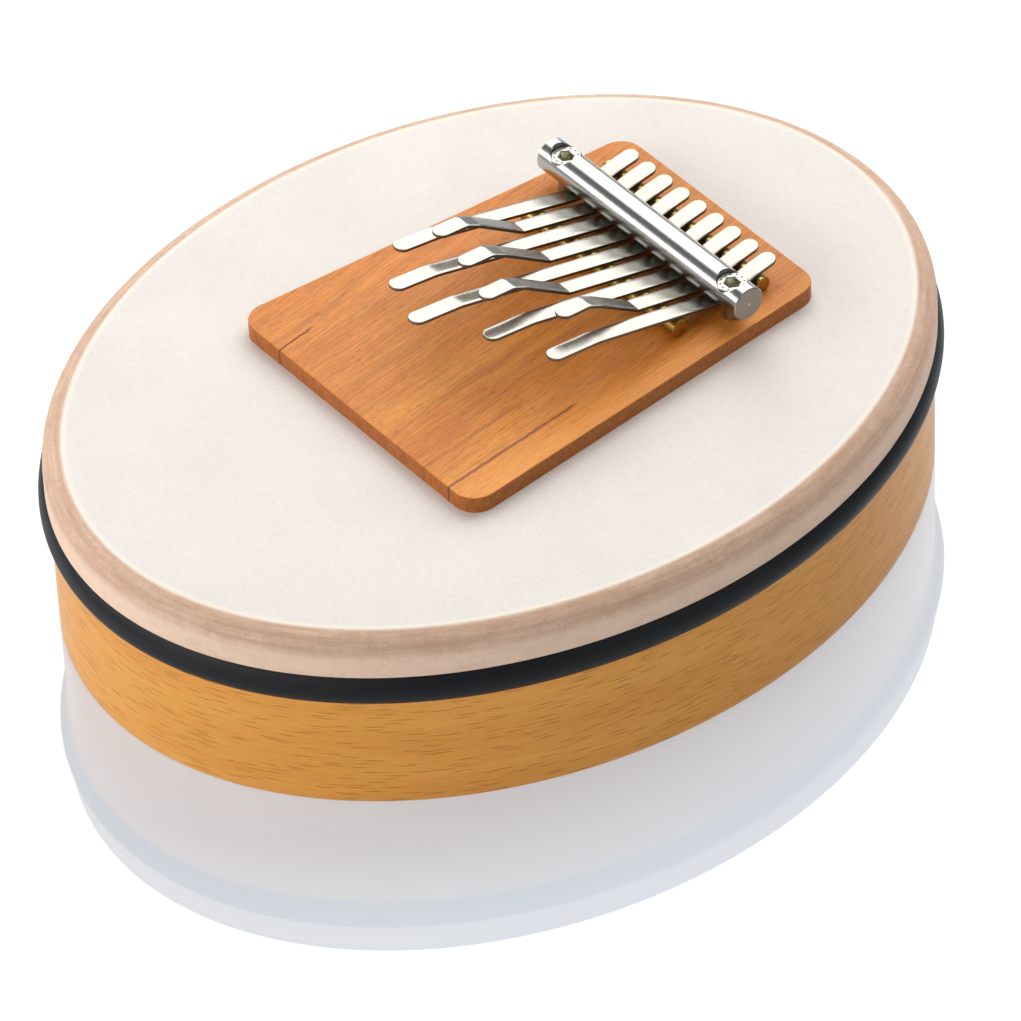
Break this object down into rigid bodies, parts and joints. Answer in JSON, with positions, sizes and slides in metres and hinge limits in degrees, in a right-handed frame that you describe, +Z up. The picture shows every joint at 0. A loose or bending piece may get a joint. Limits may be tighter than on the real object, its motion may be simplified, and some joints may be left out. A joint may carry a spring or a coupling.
{
  "type": "frame drum mbira",
  "caption": "Oval frame drum with a stretched skin carrying a wooden board of plucked steel tines under a screwed round bar.",
  "frame": {"origin": "centre of the oval hoop's foot, on the surface it stands on", "axes": "+Z up, +Y along the oval's long axis towards the pressure bar end, tine tips towards -Y, +X to the player's right"},
  "size_m": [0.208, 0.2652, 0.0873],
  "materials": {
    "beech": "clear honey-toned satin varnish over fine beech grain",
    "drum_skin": "matt off-white rawhide, tan where it folds over the rim",
    "black_rubber": "smooth black rubber with a soft sheen",
    "cherry": "oiled cherry, fine straight grain",
    "brass": "plain drawn brass rod",
    "polished_steel": "polished stainless steel, turned ends",
    "screw_steel": "bright stainless steel",
    "insert_steel": "plain steel",
    "spring_steel": "bright rolled spring steel with dark sheared edges"
  },
  "bodies": {
    "drum": {"hoop": "beech", "skin": "drum_skin", "rubber_band": "black_rubber", "board": "cherry", "front_rod": "brass", "rear_rod": "brass", "pressure_bar": "polished_steel", "bar_screws": "screw_steel", "inserts": "insert_steel", "tine_1_clamped": "spring_steel", "tine_2_clamped": "spring_steel", "tine_3_clamped": "spring_steel", "tine_4_clamped": "spring_steel", "tine_5_clamped": "spring_steel", "tine_6_clamped": "spring_steel", "tine_7_clamped": "spring_steel", "tine_8_clamped": "spring_steel", "tine_9_clamped": "spring_steel"},
    "blade_1": {"tine_1_blade": "spring_steel"},
    "blade_2": {"tine_2_blade": "spring_steel"},
    "blade_3": {"tine_3_blade": "spring_steel"},
    "blade_4": {"tine_4_blade": "spring_steel"},
    "blade_5": {"tine_5_blade": "spring_steel"},
    "blade_6": {"tine_6_blade": "spring_steel"},
    "blade_7": {"tine_7_blade": "spring_steel"},
    "blade_8": {"tine_8_blade": "spring_steel"},
    "blade_9": {"tine_9_blade": "spring_steel"}
  },
  "joints": [
    {"name": "pluck_1", "type": "hinge", "parent": "drum", "child": "blade_1", "pos_m": [-0.03108, 0.03508, 0.06992], "axis": [0.9999, 0.014, 0], "range_deg": [-2, 4], "stiffness_Nm_per_rad": 2},
    {"name": "pluck_2", "type": "hinge", "parent": "drum", "child": "blade_2", "pos_m": [-0.02362, 0.03518, 0.06992], "axis": [0.9999, 0.014, 0], "range_deg": [-2, 4], "stiffness_Nm_per_rad": 2},
    {"name": "pluck_3", "type": "hinge", "parent": "drum", "child": "blade_3", "pos_m": [-0.01616, 0.03529, 0.06992], "axis": [0.9999, 0.014, 0], "range_deg": [-2, 4], "stiffness_Nm_per_rad": 2},
    {"name": "pluck_4", "type": "hinge", "parent": "drum", "child": "blade_4", "pos_m": [-0.0087, 0.03539, 0.06992], "axis": [0.9999, 0.014, 0], "range_deg": [-2, 4], "stiffness_Nm_per_rad": 2},
    {"name": "pluck_5", "type": "hinge", "parent": "drum", "child": "blade_5", "pos_m": [-0.00125, 0.0355, 0.06992], "axis": [0.9999, 0.014, 0], "range_deg": [-2, 4], "stiffness_Nm_per_rad": 2},
    {"name": "pluck_6", "type": "hinge", "parent": "drum", "child": "blade_6", "pos_m": [0.00621, 0.0356, 0.06992], "axis": [0.9999, 0.014, 0], "range_deg": [-2, 4], "stiffness_Nm_per_rad": 2},
    {"name": "pluck_7", "type": "hinge", "parent": "drum", "child": "blade_7", "pos_m": [0.01367, 0.03571, 0.06992], "axis": [0.9999, 0.014, 0], "range_deg": [-2, 4], "stiffness_Nm_per_rad": 2},
    {"name": "pluck_8", "type": "hinge", "parent": "drum", "child": "blade_8", "pos_m": [0.02113, 0.03581, 0.06992], "axis": [0.9999, 0.014, 0], "range_deg": [-2, 4], "stiffness_Nm_per_rad": 2},
    {"name": "pluck_9", "type": "hinge", "parent": "drum", "child": "blade_9", "pos_m": [0.02859, 0.03591, 0.06992], "axis": [0.9999, 0.014, 0], "range_deg": [-2, 4], "stiffness_Nm_per_rad": 2}
  ]
}
